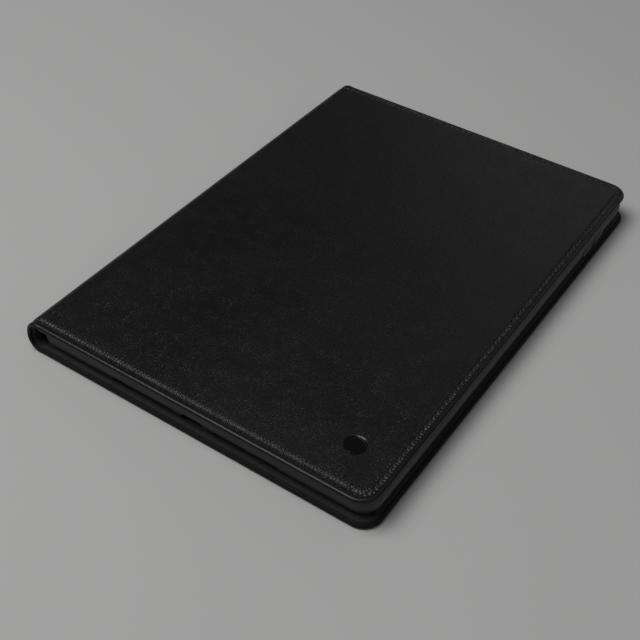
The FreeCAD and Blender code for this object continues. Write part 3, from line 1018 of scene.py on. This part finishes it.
def make_tray():
    """The shell with its port, speaker, jack, microphone, lens and button holes."""
    walls = ["tray_port_wall", "tray_top_wall", "tray_spine_wall", "tray_free_wall", "tray_corners"]
    boxes = [box_mm(node) for node in walls]
    low = Vector([min(box[0][axis] for box in boxes) for axis in range(3)])
    high = Vector([max(box[1][axis] for box in boxes) for axis in range(3)])
    floor_top = low.z + TRAY_FLOOR
    middle = (low + high) / 2
    mesh = tray_shell(low, high, floor_top)
    for vert in mesh.verts:
        vert.co *= MM
    bmesh.ops.recalc_face_normals(mesh, faces=mesh.faces[:])
    tray = as_object(mesh, "tray_shell", TRAY)

    tablet_z = floor_top + HALF_TABLET_THICK
    bars = []
    for width, height, radius, offset in (PORT_NOTCH, *SPEAKER_NOTCHES):
        at = (middle.x + offset, low.y, low.z + height / 2 - 1.5)
        bars.append((at, (width, CUT_THROUGH + 2, height + 3.0), radius, 1))
    jack, microphone, lens = (2 * radius for radius in (JACK_RADIUS, MICROPHONE_RADIUS, LENS_RADIUS))
    bars += [
        ((low.x + JACK_FROM_SPINE, high.y, tablet_z), (jack, CUT_THROUGH, jack), JACK_RADIUS - 0.05, 1),
        ((middle.x, high.y, tablet_z), (microphone, CUT_THROUGH, microphone), MICROPHONE_RADIUS - 0.05, 1),
        ((high.x - LENS_FROM_SIDES, high.y - LENS_FROM_SIDES, low.z), (lens, lens, 4.0),
         LENS_RADIUS - 0.1, 2),
    ]
    length, height = BUTTON_WINDOW
    for node in PADS:
        pad_low, pad_high = box_mm(node)
        centre = (pad_low + pad_high) / 2
        if node == "power_pad":
            bars.append(((centre.x, high.y, centre.z), (length, CUT_THROUGH, height), BUTTON_CORNER, 1))
        else:
            bars.append(((high.x, centre.y, centre.z), (CUT_THROUGH, length, height), BUTTON_CORNER, 0))
    cutters = []
    for number, (at, size, radius, axis) in enumerate(bars):
        cutter = bar_cutter("cutter_%d" % number, Vector(at) * MM, Vector(size) * MM, radius * MM, axis)
        cutters.append(cutter)
        cut = tray.modifiers.new("hole_%d" % number, "BOOLEAN")
        cut.operation = "DIFFERENCE"
        cut.solver = "EXACT"
        cut.object = cutter
    ease = tray.modifiers.new("ease", "BEVEL")
    ease.width = EASE * MM
    ease.segments = 2
    ease.limit_method = "ANGLE"
    ease.angle_limit = math.radians(60)
    finish_modifiers(tray, cutters)
    tray.data.set_sharp_from_angle(angle=SHARP_ANGLE)
    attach(tray, "back")
    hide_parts("tray_floor", *walls)


def make_pads():
    """Button pads with softly rounded faces, each on its own body."""
    for node, body in PADS.items():
        low, high = box_mm(node)
        size = high - low
        out_axis = 1 if node == "power_pad" else 0
        mesh = bmesh.new()
        place = Matrix.Translation((low + high) / 2) @ Matrix.Diagonal((*size, 1))
        bmesh.ops.create_cube(mesh, size=1.0, matrix=place)
        along = [edge for edge in mesh.edges
                 if abs((edge.verts[0].co - edge.verts[1].co).normalized()[out_axis]) > 0.9]
        bmesh.ops.bevel(mesh, geom=along, offset=size.z / 2 * 0.999, segments=10, profile=0.5,
                        affect="EDGES", material=-1)
        face = max(mesh.faces, key=lambda item: item.calc_center_median()[out_axis])
        bmesh.ops.bevel(mesh, geom=face.edges[:], offset=0.3, segments=3, profile=0.5,
                        affect="EDGES", material=-1)
        for vert in mesh.verts:
            vert.co *= MM
        bmesh.ops.recalc_face_normals(mesh, faces=mesh.faces[:])
        pad = as_object(mesh, node + "_cap", TRAY)
        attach(pad, body)
        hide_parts(node)


# ---------------------------------------------------------------- making

MARK_RADIUS = 5.2
MARK_FROM_FREE_EDGE = 22.0
MARK_FROM_END = 24.1
CAMERA_RADIUS = 7.5
COVER_LINING_THICK = 0.5
BACK_LINING_THICK = 0.55
tray_high = box_mm("tray_free_wall")[1]
inner_board_high = box_mm("back_board_inner")[1]
outer_board_low = box_mm("back_board_outer")[0]
FOLD_T = (inner_board_high.x + outer_board_low.x) / 2 - X_HINGE
COVER.windows = [(COVER_REACH - MARK_FROM_FREE_EDGE, MARK_FROM_END - COVER_HALF, MARK_RADIUS + 2.4)]
lens_y = box_mm("tray_top_wall")[1].y - LENS_FROM_SIDES
BACK.windows = [(tray_high.x - LENS_FROM_SIDES - X_HINGE, lens_y, CAMERA_RADIUS + 0.9)]

thread_shape = stitch_shape()
make_panel(COVER, "cover", "high", thread_shape, COVER_LINING_THICK)
make_panel(BACK, "back_panel", "low", thread_shape, BACK_LINING_THICK)
make_tray()
make_pads()

FINISH = {
    "lining": LINING, "board": BOARD, "foam": FOAM, "thread": THREAD, "tray": TRAY, "pads": TRAY,
    "glue": GLUE, "magnet": MAGNET, "leather": LEATHER,
}
for entry in frame["record"]["subparts"]:
    node = frame["nodes"][entry["node"]]
    node.data.materials.clear()
    node.data.materials.append(FINISH[entry["material_slot"]])

# ---------------------------------------------------------------- floor, light and camera


def make_floor():
    """Plain pale floor, which isn't part of the case."""
    mesh = bmesh.new()
    bmesh.ops.create_grid(mesh, x_segments=1, y_segments=1, size=6.0)
    data = bpy.data.meshes.new("floor")
    mesh.to_mesh(data)
    mesh.free()
    floor = bpy.data.objects.new("floor", data)
    bpy.context.scene.collection.objects.link(floor)
    material, nodes, links, shader = new_material("pale_floor")
    set_value(shader, Base_Color=(0.40, 0.40, 0.395, 1), Roughness=0.8)
    data.materials.append(material)


def add_area(name, location, size, power):
    """Soft lamp that faces the middle of the case."""
    light = bpy.data.lights.new(name, "AREA")
    light.shape = "RECTANGLE"
    light.size, light.size_y = size
    light.energy = power
    lamp = bpy.data.objects.new(name, light)
    bpy.context.scene.collection.objects.link(lamp)
    lamp.location = location
    lamp.rotation_mode = "QUATERNION"
    lamp.rotation_quaternion = (-Vector(location)).to_track_quat("-Z", "Y")


def make_light():
    """Soft light from the near left, with weak fill from the side and the far end."""
    bpy.context.scene.view_settings.view_transform = "Standard"
    world = bpy.data.worlds.new("studio")
    bpy.context.scene.world = world
    world.use_nodes = True
    set_value(world.node_tree.nodes["Background"], Color=(0.95, 0.97, 1.0, 1), Strength=0.08)
    add_area("overhead", (-0.45, -0.42, 1.35), (0.9, 0.9), 18)
    add_area("side_fill", (1.2, -0.3, 0.9), (1.0, 0.8), 1.5)
    add_area("far_fill", (0.1, 1.3, 0.75), (1.4, 0.8), 1.3)


def make_camera():
    """Camera above the near free corner, turned a little about its own axis."""
    camera = bpy.data.cameras.new("camera")
    camera.sensor_width = 36.0
    camera.lens = 62.09
    camera.clip_start = 0.01
    eye = bpy.data.objects.new("camera", camera)
    bpy.context.scene.collection.objects.link(eye)
    place = Vector((0.21182, -0.36433, 0.35238))
    target = Vector((0.01027, -0.04414, 0.0085))
    roll = Matrix.Rotation(math.radians(2.654), 4, "Z")
    facing = (target - place).to_track_quat("-Z", "Y").to_matrix().to_4x4()
    eye.matrix_world = Matrix.Translation(place) @ facing @ roll
    bpy.context.scene.camera = eye


make_floor()
make_light()
make_camera()
